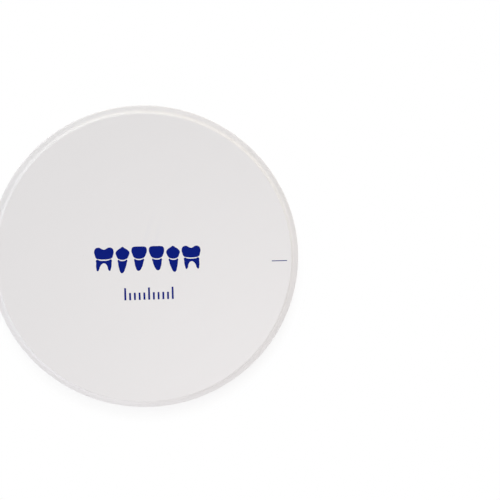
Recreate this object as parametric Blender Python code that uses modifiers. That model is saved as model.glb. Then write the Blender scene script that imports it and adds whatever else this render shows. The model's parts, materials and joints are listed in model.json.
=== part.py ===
"""Dental milling blank: a round disc of pressed, pre-sintered zirconia.

The blank is one solid. A wide collar runs round its edge, where the milling
machine's holder grips it, and a raised round face stands above the collar on
each side. Lengths are in metres, +Z is up, and the origin is the middle of
the lower face, so the blank lies flat on the ground plane.
"""

import math

import bmesh
import bpy

# Driving dimensions
COLLAR_DIAMETER = 0.0985
COLLAR_THICKNESS = 0.0100
LEDGE_WIDTH = 0.00225
STEP_HEIGHT = 0.0020
FACE_EDGE_RADIUS = 0.0008
ROOT_RADIUS = 0.0007
COLLAR_EDGE_RADIUS = 0.0004

# Fineness of the turned surface
TURN_STEPS = 120
ARC_STEPS = 3

# Finish of the pressed zirconia
ZIRCONIA_COLOUR = (0.80, 0.785, 0.77, 1.0)
ZIRCONIA_ROUGHNESS = 0.75

# The most of a wall that the round at either of its ends may take
ROUND_SHARE = 0.45


def clear_scene():
    """Remove whatever the file holds, so the model starts alone."""
    for old in list(bpy.data.objects):
        bpy.data.objects.remove(old, do_unlink=True)


def zirconia():
    """Chalk-white, dull, unsintered ceramic."""
    material = bpy.data.materials.new("pressed_zirconia")
    material.use_nodes = True
    shader = material.node_tree.nodes["Principled BSDF"]
    shader.inputs["Base Color"].default_value = ZIRCONIA_COLOUR
    shader.inputs["Roughness"].default_value = ZIRCONIA_ROUGHNESS
    shader.inputs["Metallic"].default_value = 0.0
    return material


def arc(centre_x, centre_z, radius, start, end):
    """Points along an arc of the profile, from one angle to another in degrees."""
    points = []
    for step in range(ARC_STEPS + 1):
        angle = math.radians(start + (end - start) * step / ARC_STEPS)
        x = centre_x + radius * math.cos(angle)
        z = centre_z + radius * math.sin(angle)
        points.append((x, z))
    return points


def half_profile():
    """The outline from the middle of the upper face down to the collar's wall.

    Heights are counted from the plane that halves the blank's thickness.
    """
    collar_x = COLLAR_DIAMETER / 2
    wall_x = collar_x - LEDGE_WIDTH
    ledge_z = COLLAR_THICKNESS / 2
    face_z = ledge_z + STEP_HEIGHT

    face_round = min(FACE_EDGE_RADIUS, ROUND_SHARE * STEP_HEIGHT)
    root_round = min(ROOT_RADIUS, ROUND_SHARE * STEP_HEIGHT, ROUND_SHARE * LEDGE_WIDTH)
    collar_round = min(
        COLLAR_EDGE_RADIUS, ROUND_SHARE * LEDGE_WIDTH, ROUND_SHARE * COLLAR_THICKNESS
    )

    points = [(0.0, face_z)]
    # The rounded edge of the raised face
    points += arc(wall_x - face_round, face_z - face_round, face_round, 90, 0)
    # The small fillet where the step's wall meets the ledge
    points += arc(wall_x + root_round, ledge_z + root_round, root_round, 180, 270)
    # The eased edge between the ledge and the collar's wall
    points += arc(collar_x - collar_round, ledge_z - collar_round, collar_round, 90, 0)
    return points


def full_profile():
    """The upper half outline, then the same outline mirrored back to the axis."""
    half_thickness = COLLAR_THICKNESS / 2 + STEP_HEIGHT
    upper = half_profile()
    lower = [(x, -z) for x, z in reversed(upper)]
    return [(x, z + half_thickness) for x, z in upper + lower]


def profile_mesh(name, points):
    """An open chain of edges in the XZ plane."""
    chain = bmesh.new()
    verts = [chain.verts.new((x, 0.0, z)) for x, z in points]
    for first, second in zip(verts, verts[1:]):
        chain.edges.new((first, second))
    mesh = bpy.data.meshes.new(name)
    chain.to_mesh(mesh)
    chain.free()
    return mesh


def turn(blank):
    """Sweep the profile once round the Z axis and close it at the two centres."""
    screw = blank.modifiers.new("turned", "SCREW")
    screw.axis = "Z"
    screw.angle = math.tau
    screw.screw_offset = 0.0
    screw.steps = TURN_STEPS
    screw.render_steps = TURN_STEPS
    screw.use_merge_vertices = True
    screw.merge_threshold = 0.00001
    screw.use_smooth_shade = True


def keep_flats_flat(blank):
    """Let the large faces set the shading, so the rounds don't bend their light."""
    normals = blank.modifiers.new("flat_faces", "WEIGHTED_NORMAL")
    normals.mode = "FACE_AREA"
    normals.keep_sharp = True


def milling_blank(collection):
    """The whole disc: collar, ledges and both raised faces in one body."""
    mesh = profile_mesh("milling_blank", full_profile())
    mesh.materials.append(zirconia())
    blank = bpy.data.objects.new("milling_blank", mesh)
    collection.objects.link(blank)
    turn(blank)
    keep_flats_flat(blank)
    return blank


clear_scene()
disc = bpy.data.collections.new("dental_milling_disc")
bpy.context.scene.collection.children.link(disc)
milling_blank(disc)
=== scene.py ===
import json
import math

import bmesh
import bpy
from mathutils import Matrix, Vector


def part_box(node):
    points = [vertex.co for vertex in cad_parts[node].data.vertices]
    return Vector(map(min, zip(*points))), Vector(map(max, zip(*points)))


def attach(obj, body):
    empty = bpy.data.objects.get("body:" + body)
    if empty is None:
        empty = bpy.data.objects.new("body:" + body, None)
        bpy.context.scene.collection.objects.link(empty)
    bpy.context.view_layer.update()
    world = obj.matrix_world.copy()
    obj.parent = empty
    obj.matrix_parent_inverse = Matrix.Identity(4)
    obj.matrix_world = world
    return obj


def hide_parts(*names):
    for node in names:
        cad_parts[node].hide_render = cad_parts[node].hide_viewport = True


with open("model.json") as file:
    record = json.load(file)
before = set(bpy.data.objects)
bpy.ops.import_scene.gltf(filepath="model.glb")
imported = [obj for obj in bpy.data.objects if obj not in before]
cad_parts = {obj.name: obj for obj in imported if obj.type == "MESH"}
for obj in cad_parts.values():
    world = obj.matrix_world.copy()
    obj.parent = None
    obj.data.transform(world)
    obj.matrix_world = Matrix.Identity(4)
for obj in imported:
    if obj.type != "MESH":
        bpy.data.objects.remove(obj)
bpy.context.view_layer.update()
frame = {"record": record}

# The blank
# One body of zirconia powder, pressed, turned round its rim and faced on both
# sides, and not yet fired hard. The collar's ledges are what a holder grips.
LEDGE_WIDTH = 0.00225
FACE_EDGE_RADIUS = 0.0007
ROOT_RADIUS = 0.0011
COLLAR_EDGE_RADIUS = 0.0004
RIM_SIDES = 288
ROUND_SEGMENTS = 6
FACE_RINGS = 3
FLAT_NORMAL = 0.9
CLOSE = 0.00005

mount_place = {mount["name"]: Vector(mount["pos_m"]) for mount in frame["record"]["mounts"]}
blank_low, blank_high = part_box("milling_blank")
collar_radius = blank_high.x
wall_radius = collar_radius - LEDGE_WIDTH
lower_ledge = mount_place["lower_ledge"].z
upper_ledge = mount_place["upper_ledge"].z
face_height = blank_high.z


def start_edit():
    """Open the active mesh for editing with nothing selected."""
    bpy.ops.object.mode_set(mode="EDIT")
    bpy.ops.mesh.select_mode(type="VERT")
    bpy.ops.mesh.select_all(action="DESELECT")


def pick_faces(test):
    """Select only the faces that pass the test."""
    bpy.ops.mesh.select_mode(type="FACE")
    bpy.ops.mesh.select_all(action="DESELECT")
    cage = bmesh.from_edit_mesh(bpy.context.object.data)
    for face in cage.faces:
        face.select_set(test(face))
    bmesh.update_edit_mesh(bpy.context.object.data)


def pick_ring(radius, height):
    """Select only the ring of edges at that radius and height."""
    bpy.ops.mesh.select_mode(type="EDGE")
    bpy.ops.mesh.select_all(action="DESELECT")
    cage = bmesh.from_edit_mesh(bpy.context.object.data)
    for edge in cage.edges:
        edge.select_set(
            all(
                abs(vert.co.xy.length - radius) < CLOSE and abs(vert.co.z - height) < CLOSE
                for vert in edge.verts
            )
        )
    bmesh.update_edit_mesh(bpy.context.object.data)


def raise_face(direction, step):
    """Inset one end of the collar by the ledge and raise it into a face."""
    pick_faces(lambda face: face.normal.z * direction > FLAT_NORMAL)
    bpy.ops.mesh.inset(thickness=LEDGE_WIDTH, use_even_offset=False)
    bpy.ops.mesh.extrude_region_move(TRANSFORM_OT_translate={"value": (0, 0, direction * step)})


def ring_face(direction, height):
    """Divide the flat of a face into rings, so no face of the mesh spans it all."""
    for ring in range(FACE_RINGS):
        pick_faces(
            lambda face: face.normal.z * direction > FLAT_NORMAL
            and abs(face.calc_center_median().z - height) < CLOSE
            and len(face.verts) == RIM_SIDES
        )
        bpy.ops.mesh.inset(thickness=wall_radius / (FACE_RINGS + 1), use_even_offset=False)


bpy.ops.object.select_all(action="DESELECT")
bpy.ops.mesh.primitive_cylinder_add(
    vertices=RIM_SIDES,
    radius=collar_radius,
    depth=upper_ledge - lower_ledge,
    location=(0, 0, (upper_ledge + lower_ledge) / 2),
)
blank = bpy.context.object
blank.name = "zirconia_blank"
bpy.ops.object.transform_apply(location=True)
start_edit()
raise_face(1, face_height - upper_ledge)
raise_face(-1, lower_ledge - blank_low.z)
for radius, height, size in (
    (wall_radius, face_height, FACE_EDGE_RADIUS),
    (wall_radius, upper_ledge, ROOT_RADIUS),
    (collar_radius, upper_ledge, COLLAR_EDGE_RADIUS),
    (wall_radius, blank_low.z, FACE_EDGE_RADIUS),
    (wall_radius, lower_ledge, ROOT_RADIUS),
    (collar_radius, lower_ledge, COLLAR_EDGE_RADIUS),
):
    pick_ring(radius, height)
    bpy.ops.mesh.bevel(offset=size, segments=ROUND_SEGMENTS, affect="EDGES")
ring_face(1, face_height)
ring_face(-1, blank_low.z)
bpy.ops.object.mode_set(mode="OBJECT")
bpy.ops.object.shade_smooth()
weights = blank.modifiers.new("flat_faces", "WEIGHTED_NORMAL")
bpy.ops.object.modifier_apply(modifier=weights.name)


class Value:
    """A number that varies over a surface. Sums on it add their Math nodes."""

    def __init__(self, finish, socket):
        self.finish = finish
        self.socket = socket

    def maths(self, operation, first, second):
        return self.finish.node("ShaderNodeMath", {"operation": operation}, {0: first, 1: second})

    def __add__(self, other):
        return self.maths("ADD", self, other)

    __radd__ = __add__

    def __sub__(self, other):
        return self.maths("SUBTRACT", self, other)

    def __rsub__(self, other):
        return self.maths("SUBTRACT", other, self)

    def __mul__(self, other):
        return self.maths("MULTIPLY", self, other)

    __rmul__ = __mul__


class Finish:
    """The nodes of one material, or of the light all round."""

    def __init__(self, holder):
        holder.use_nodes = True
        self.holder = holder
        self.tree = holder.node_tree

    def feed(self, socket, value):
        if isinstance(value, Value):
            self.tree.links.new(value.socket, socket)
        else:
            socket.default_value = value

    def node(self, kind, settings, sockets, output=0):
        made = self.tree.nodes.new(kind)
        for name, setting in settings.items():
            setattr(made, name, setting)
        for name, value in sockets.items():
            self.feed(made.inputs[name], value)
        return Value(self, made.outputs[output])

    def shade(self, **sockets):
        shader = self.tree.nodes["Principled BSDF"]
        for name, value in sockets.items():
            self.feed(shader.inputs[name.replace("_", " ")], value)

    def place(self):
        return self.node("ShaderNodeTexCoord", {}, {}, "Object")

    def noise(self, place, scale, detail, roughness=0.5):
        settings = {"noise_dimensions": "3D"}
        sockets = {"Vector": place, "Scale": scale, "Detail": detail, "Roughness": roughness}
        return self.node("ShaderNodeTexNoise", settings, sockets, "Fac")

    def streaks(self, place, bearing, length, width, detail):
        """Noise drawn out along a bearing, counted in degrees from +X."""
        settings = {"vector_type": "TEXTURE"}
        sockets = {
            "Vector": place,
            "Rotation": (0, 0, math.radians(bearing)),
            "Scale": (length, width, width),
        }
        return self.noise(self.node("ShaderNodeMapping", settings, sockets), 1, detail)

    def patch(self, place, middle, bearing, length, width):
        """One in the middle of a long soft patch of the face, and nothing outside it."""
        settings = {"vector_type": "TEXTURE"}
        sockets = {
            "Vector": place,
            "Location": middle,
            "Rotation": (0, 0, math.radians(bearing)),
            "Scale": (length / 2, width / 2, 1),
        }
        off_middle = self.node("ShaderNodeMapping", settings, sockets)
        reach = self.node("ShaderNodeVectorMath", {"operation": "LENGTH"}, {0: off_middle}, "Value")
        return 1 - self.step(reach, 0.2, 1)

    def step(self, value, low, high):
        settings = {"interpolation_type": "SMOOTHSTEP"}
        return self.node("ShaderNodeMapRange", settings, {"Value": value, 1: low, 2: high})

    def blend(self, factor, first, second):
        settings = {"data_type": "RGBA", "blend_type": "MIX"}
        return self.node("ShaderNodeMix", settings, {0: factor, 6: first, 7: second}, 2)

    def bump(self, height):
        return self.node("ShaderNodeBump", {}, {"Height": height, "Distance": 1.0})

    def seen(self):
        """One where a thing is looked at, straight or in a gloss, and not where it lights."""
        straight = self.node("ShaderNodeLightPath", {}, {}, "Is Camera Ray")
        mirrored = self.node("ShaderNodeLightPath", {}, {}, "Is Glossy Ray")
        through = self.node("ShaderNodeLightPath", {}, {}, "Is Transmission Ray")
        return straight + mirrored + through


# Chalk-white and dull, with a grain of a quarter of a millimetre. The facing cut
# left faint streaks, the turning tool left fine rings on the ledges and the
# collar, two fingers of wet ink were dragged up from the print, and three specks
# of dust were pressed in.
CHALK = (0.800, 0.787, 0.785, 1)
CHALK_PALE = (0.815, 0.803, 0.801, 1)
CHALK_INKED = (0.785, 0.776, 0.787, 1)
CHALK_SPECK = (0.740, 0.726, 0.721, 1)
CLOUD_SHARE = 0.7
DULLNESS = 0.66
GRAIN_DULLNESS = 0.14
TURNED_SHEEN = 0.05
GRAIN_SCALE = 4200
GRAIN_DEPTH = 0.0000018
RING_PITCH = 0.00018
RING_DEPTH = 0.0000006
RING_BLEND = 0.0002
FACING_BEARING = 30
FACING_LENGTH = 0.045
FACING_WIDTH = 0.006
LONG_DRAG = (-0.0010, 0.0060, face_height)
LONG_DRAG_BEARING = 72
LONG_DRAG_LENGTH = 0.030
LONG_DRAG_WIDTH = 0.0026
SHORT_DRAG = (0.0026, 0.0060, face_height)
SHORT_DRAG_BEARING = 76
SHORT_DRAG_LENGTH = 0.022
SHORT_DRAG_WIDTH = 0.0024
STREAK_LENGTH = 0.012
STREAK_WIDTH = 0.0008
SPECKS = ((-0.00695, 0.02541), (-0.02006, 0.00260), (-0.00071, -0.01227))
SPECK_SIZE = 0.0004

chalk = Finish(bpy.data.materials.new("chalk_white_zirconia"))
place = chalk.place()
flat_place = chalk.node("ShaderNodeVectorMath", {"operation": "MULTIPLY"}, {0: place, 1: (1, 1, 0)})
radius_here = chalk.node("ShaderNodeVectorMath", {"operation": "LENGTH"}, {0: flat_place}, "Value")
height_here = chalk.node("ShaderNodeSeparateXYZ", {}, {0: place}, "Z")
cloud = chalk.streaks(place, FACING_BEARING, FACING_LENGTH, FACING_WIDTH, 3)
grain = chalk.noise(place, GRAIN_SCALE, 4, 0.6)
turned = chalk.step(radius_here, wall_radius - RING_BLEND, wall_radius + RING_BLEND)
rings = chalk.node(
    "ShaderNodeMath",
    {"operation": "SINE"},
    {0: (radius_here + height_here) * (math.tau / RING_PITCH)},
)
long_drag = chalk.patch(place, LONG_DRAG, LONG_DRAG_BEARING, LONG_DRAG_LENGTH, LONG_DRAG_WIDTH)
short_drag = chalk.patch(
    place, SHORT_DRAG, SHORT_DRAG_BEARING, SHORT_DRAG_LENGTH, SHORT_DRAG_WIDTH
)
streak_bearing = (LONG_DRAG_BEARING + SHORT_DRAG_BEARING) / 2
ink_streaks = chalk.streaks(place, streak_bearing, STREAK_LENGTH, STREAK_WIDTH, 1)
drag = ink_streaks * (long_drag + short_drag)
speck = sum(
    chalk.patch(place, (x, y, face_height), 0, SPECK_SIZE, SPECK_SIZE) for x, y in SPECKS
)
bare_chalk = chalk.blend(cloud * CLOUD_SHARE + grain * (1 - CLOUD_SHARE), CHALK, CHALK_PALE)
inked_chalk = chalk.blend(drag, bare_chalk, CHALK_INKED)
chalk.shade(
    Base_Color=chalk.blend(speck, inked_chalk, CHALK_SPECK),
    Roughness=DULLNESS + grain * GRAIN_DULLNESS - turned * TURNED_SHEEN,
    Normal=chalk.bump(grain * GRAIN_DEPTH + rings * turned * RING_DEPTH),
    Specular_IOR_Level=0.35,
)
blank.data.materials.append(chalk.holder)
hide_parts("milling_blank")
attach(blank, "root")

# The tooth row
# A row of plain tooth shapes in dark blue ink, pad-printed on the face and soaked
# a little into the chalk. A thin bare line parts each crown from its root.
INK_RISE = 0.000015
INK_SOAK = 0.000010
ROW_WIDTH = 0.0335
ROW_HEIGHT = 0.0085
ROW_CENTRE = Vector((0.0, 0.0008))
OUTLINE_STEPS = 8
ROOT_LEAN = 0.05

# Right halves of the outlines, in shares of the row's height above the longest
# root's tip, from the top of each shape down to its lowest point
INCISOR_CROWN = (
    (0.0, 1.0), (0.14, 0.998), (0.245, 0.97), (0.285, 0.87), (0.25, 0.70), (0.185, 0.585),
    (0.10, 0.545), (0.0, 0.53),
)
INCISOR_ROOT = (
    (0.0, 0.485), (0.10, 0.50), (0.17, 0.53), (0.165, 0.40), (0.115, 0.21), (0.04, 0.085),
    (0.0, 0.075),
)
CANINE_CROWN = (
    (0.0, 1.0), (0.07, 0.955), (0.19, 0.875), (0.255, 0.775), (0.225, 0.66), (0.175, 0.565),
    (0.09, 0.52), (0.0, 0.505),
)
CANINE_ROOT = (
    (0.0, 0.46), (0.09, 0.475), (0.16, 0.51), (0.16, 0.38), (0.11, 0.17), (0.04, 0.015),
    (0.0, 0.0),
)
MOLAR_CROWN = (
    (0.0, 0.905), (0.07, 0.93), (0.18, 0.985), (0.30, 0.955), (0.355, 0.85), (0.335, 0.70),
    (0.285, 0.585), (0.15, 0.545), (0.0, 0.535),
)
MOLAR_ROOT = (
    (0.0, 0.49), (0.15, 0.50), (0.27, 0.53), (0.285, 0.40), (0.27, 0.20), (0.225, 0.10),
    (0.175, 0.14), (0.135, 0.27), (0.07, 0.365), (0.0, 0.395),
)


def draw_outline(half_outline, centre, side):
    """Draw a filled shape from its right half, its lower end leaning to the side."""
    outline = list(half_outline) + [(-x, y) for x, y in reversed(half_outline[1:-1])]
    low = ROW_CENTRE.y - ROW_HEIGHT / 2
    bpy.ops.curve.primitive_bezier_circle_add(location=(centre, low, 0))
    drawn = bpy.context.object
    drawn.data.dimensions = "2D"
    drawn.data.fill_mode = "BOTH"
    drawn.data.resolution_u = OUTLINE_STEPS
    drawn.data.extrude = (INK_RISE + INK_SOAK) / 2
    spline = drawn.data.splines[0]
    spline.bezier_points.add(len(outline) - len(spline.bezier_points))
    for point, (x, y) in zip(spline.bezier_points, outline):
        lean = side * ROOT_LEAN * (1 - y) ** 2
        point.co = ((x + lean) * ROW_HEIGHT, y * ROW_HEIGHT, 0)
        point.handle_left_type = "AUTO"
        point.handle_right_type = "AUTO"
    return drawn


def print_on_face(pieces, name, ink):
    """Make the drawn shapes one printed piece that lies on the marked face."""
    bpy.ops.object.select_all(action="DESELECT")
    for piece in pieces:
        piece.select_set(True)
    bpy.context.view_layer.objects.active = pieces[0]
    bpy.ops.object.convert(target="MESH")
    bpy.ops.object.join()
    piece = bpy.context.object
    piece.name = name
    piece.location.z = face_height + (INK_RISE - INK_SOAK) / 2
    bpy.ops.object.transform_apply(location=True, rotation=True, scale=True)
    start_edit()
    bpy.ops.mesh.select_all(action="SELECT")
    bpy.ops.mesh.remove_doubles(threshold=0.000001)
    bpy.ops.mesh.normals_make_consistent(inside=False)
    bpy.ops.object.mode_set(mode="OBJECT")
    piece.data.materials.clear()
    piece.data.materials.append(ink)
    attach(piece, "root")
    return piece


INK_BLUE = (0.0027, 0.0128, 0.204, 1)
INK_DEEP = (0.0016, 0.0092, 0.180, 1)
INK_DULLNESS = 0.62
INK_GRAIN_DULLNESS = 0.2
MOTTLE_SCALE = 900

blue = Finish(bpy.data.materials.new("dark_blue_ink"))
ink_place = blue.place()
mottle = blue.noise(ink_place, MOTTLE_SCALE, 3)
ink_grain = blue.noise(ink_place, GRAIN_SCALE, 4, 0.6)
blue.shade(
    Base_Color=blue.blend(mottle, INK_DEEP, INK_BLUE),
    Roughness=INK_DULLNESS + ink_grain * INK_GRAIN_DULLNESS,
    Normal=blue.bump(ink_grain * GRAIN_DEPTH),
    Specular_IOR_Level=0.05,
)

molar = (MOLAR_CROWN, MOLAR_ROOT)
canine = (CANINE_CROWN, CANINE_ROOT)
incisor = (INCISOR_CROWN, INCISOR_ROOT)
left_half = [(shape, -1) for shape in (molar, canine, incisor)]
right_half = [(shape, 1) for shape in (incisor, canine, molar)]
teeth = left_half + right_half
widths = [2 * ROW_HEIGHT * max(x for x, y in crown) for (crown, root), side in teeth]
gap = (ROW_WIDTH - sum(widths)) / (len(teeth) - 1)
drawn_teeth = []
left_edge = ROW_CENTRE.x - ROW_WIDTH / 2
for (shape, side), width in zip(teeth, widths):
    for half_outline in shape:
        drawn_teeth.append(draw_outline(half_outline, left_edge + width / 2, side))
    left_edge += width + gap
print_on_face(drawn_teeth, "tooth_row", blue.holder)

# The tick row
# A short printed scale under the teeth, in the same ink: fine ticks, the first,
# the middle and the last of them long.
TICKS = 11
TICK_ROW_WIDTH = 0.0157
TICK_WIDTH = 0.00060
LONG_TICK = 0.0040
SHORT_TICK = 0.0024
TICK_FOOT = -0.0123
CORNER_SHARE = 0.3
CORNER_SEGMENTS = 3


def stroke(x, y, width, height):
    """Draw an upright stroke with slightly rounded corners, by its middle."""
    bpy.ops.mesh.primitive_cube_add(size=1, location=(x, y, 0))
    drawn = bpy.context.object
    drawn.scale = (width, height, INK_RISE + INK_SOAK)
    bpy.ops.object.transform_apply(location=False, rotation=False, scale=True)
    start_edit()
    cage = bmesh.from_edit_mesh(drawn.data)
    for side in cage.edges:
        side.select_set(side.verts[0].co.xy == side.verts[1].co.xy)
    bmesh.update_edit_mesh(drawn.data)
    rounding = min(width, height) * CORNER_SHARE
    bpy.ops.mesh.bevel(offset=rounding, segments=CORNER_SEGMENTS, affect="EDGES")
    bpy.ops.object.mode_set(mode="OBJECT")
    return drawn


strokes = []
for tick in range(TICKS):
    share = tick / (TICKS - 1)
    x = ROW_CENTRE.x + (share - 0.5) * (TICK_ROW_WIDTH - TICK_WIDTH)
    length = LONG_TICK if tick % (TICKS // 2) == 0 else SHORT_TICK
    strokes.append(stroke(x, TICK_FOOT + length / 2, TICK_WIDTH, length))
print_on_face(strokes, "tick_row", blue.holder)

# The orientation line
# A hairline printed near the rim, which shows how the disc was put into its
# holder, so that it can go back the same way for the next job.
LINE_START = 0.0400
LINE_END = 0.0451
LINE_THICKNESS = 0.00026
LINE_PLACE = -0.0007

line = stroke((LINE_START + LINE_END) / 2, LINE_PLACE, LINE_END - LINE_START, LINE_THICKNESS)
print_on_face([line], "orientation_line", blue.holder)

# The floor
# Plain white. To the camera it shows painted shade along the disc's lower edge: round a centre set
# below the disc's, the seen floor is kept darker than white, with the disc's real soft shadow in
# it, and it fades to pure white a little further out.
FLOOR_SIDE = 3.0
FLOOR_WHITE = (0.80, 0.80, 0.80, 1)
SEEN_PAPER = (0.42, 0.42, 0.42, 1)
SEEN_LIFT = 0.52
SHADE_CENTRE = (0, -0.006, 0)
SHADE_REACH = 0.045
SHADE_END = 0.0545
WHITE = (1, 1, 1, 1)

bpy.ops.mesh.primitive_plane_add(size=FLOOR_SIDE, location=(0, 0, 0))
floor = bpy.context.object
floor.name = "floor"
sheet = Finish(bpy.data.materials.new("white_floor"))
sheet.shade(Base_Color=FLOOR_WHITE, Roughness=0.9, Specular_IOR_Level=0.1)
lit_sheet = Value(sheet, sheet.tree.nodes["Principled BSDF"].outputs[0])
off_centre = sheet.node(
    "ShaderNodeVectorMath",
    {"operation": "SUBTRACT"},
    {0: sheet.place(), 1: SHADE_CENTRE},
)
reach = sheet.node("ShaderNodeVectorMath", {"operation": "LENGTH"}, {0: off_centre}, "Value")
far_off = sheet.step(reach, SHADE_REACH, SHADE_END)
# Painted shade: near the disc the seen floor is a dim diffuse with a lift below white, so it stays
# darker than the open floor even where no shadow falls, and the disc's real shadow shows in it.
paper = sheet.node("ShaderNodeBsdfDiffuse", {}, {"Color": SEEN_PAPER})
lift = sheet.node("ShaderNodeEmission", {}, {"Color": WHITE, "Strength": SEEN_LIFT})
shadow_and_painted_shade = sheet.node("ShaderNodeAddShader", {}, {0: paper, 1: lift})
far_sheet = sheet.node("ShaderNodeEmission", {}, {"Color": WHITE, "Strength": 1.0})
seen_sheet = sheet.node("ShaderNodeMixShader", {}, {0: far_off, 1: shadow_and_painted_shade, 2: far_sheet})
whole = sheet.node("ShaderNodeMixShader", {}, {0: sheet.seen(), 1: lit_sheet, 2: seen_sheet})
sheet.feed(sheet.tree.nodes["Material Output"].inputs["Surface"], whole)
floor.data.materials.append(sheet.holder)

# The light
# Soft light all round, a large softbox in front of the face, a small one near
# its lower right, a large one to the left, and low ones far out past the rim.
AMBIENT = (0.36, 0.36, 0.36, 1)
FAR_OUT = 1.6
LOW_DOWN = 0.30
FAR_SIZE = 0.7

studio = Finish(bpy.data.worlds.new("studio"))
bpy.context.scene.world = studio.holder
ambient = studio.node("ShaderNodeBackground", {}, {"Color": AMBIENT})
white = studio.node("ShaderNodeBackground", {}, {"Color": WHITE})
either = studio.node("ShaderNodeMixShader", {}, {0: studio.seen(), 1: ambient, 2: white})
studio.feed(studio.tree.nodes["World Output"].inputs["Surface"], either)


def softbox(name, place, size, power, colour):
    """A square soft light at a place, turned to the middle of the face."""
    lamp = bpy.data.lights.new(name, "AREA")
    lamp.shape = "SQUARE"
    lamp.size = size
    lamp.energy = power
    lamp.color = colour
    holder = bpy.data.objects.new(name, lamp)
    bpy.context.scene.collection.objects.link(holder)
    holder.location = place
    holder.visible_camera = False
    towards = Vector((0, 0, face_height)) - Vector(place)
    holder.rotation_euler = towards.to_track_quat("-Z", "Y").to_euler()


def far_softbox(name, bearing, power, colour):
    """A large soft light low down and far out, on a bearing counted from +X."""
    angle = math.radians(bearing)
    place = (FAR_OUT * math.cos(angle), FAR_OUT * math.sin(angle), LOW_DOWN)
    softbox(name, place, FAR_SIZE, power, colour)


softbox("front", (0, 0, 0.80), 0.6, 1.28, (0.966, 0.971, 1.0))
softbox("lower_right", (0.08, -0.10, 0.20), 0.10, 0.106, (1.0, 0.956, 0.944))
softbox("left", (-1.60, 0.11, 0.60), 1.4, 15.1, (0.920, 0.952, 1.0))
far_softbox("upper", 92, 7.9, (1.0, 0.986, 0.921))
far_softbox("upper_right", 45, 8.6, (1.0, 0.926, 0.838))
far_softbox("lower", 265, 4.05, (1.0, 0.883, 0.893))

# Every lamp is as likely to be sampled as the next, which leaves the narrow rounds
# of the rim cleaner.
bpy.context.scene.cycles.use_light_tree = False

# The camera
# It looks down on the disc from above its upper edge, turned a little so that
# the print rises slightly to the right.
LENS = 45.5
SENSOR = 36.0
CAMERA_PLACE = Vector((0.00821, 0.03008, 0.21642))
CAMERA_FORWARD = Vector((0.1198, -0.1313, -0.9841))
CAMERA_UP = Vector((0.0233, 0.9913, -0.1294))

view = bpy.data.cameras.new("camera")
view.lens = LENS
view.sensor_width = SENSOR
view.clip_start = 0.01
camera = bpy.data.objects.new("camera", view)
bpy.context.scene.collection.objects.link(camera)
right = CAMERA_FORWARD.cross(CAMERA_UP).normalized()
up = right.cross(CAMERA_FORWARD).normalized()
turn = Matrix((right, up, -CAMERA_FORWARD.normalized())).transposed()
camera.matrix_world = Matrix.Translation(CAMERA_PLACE) @ turn.to_4x4()
bpy.context.scene.camera = camera

bpy.context.scene.view_settings.view_transform = "Standard"
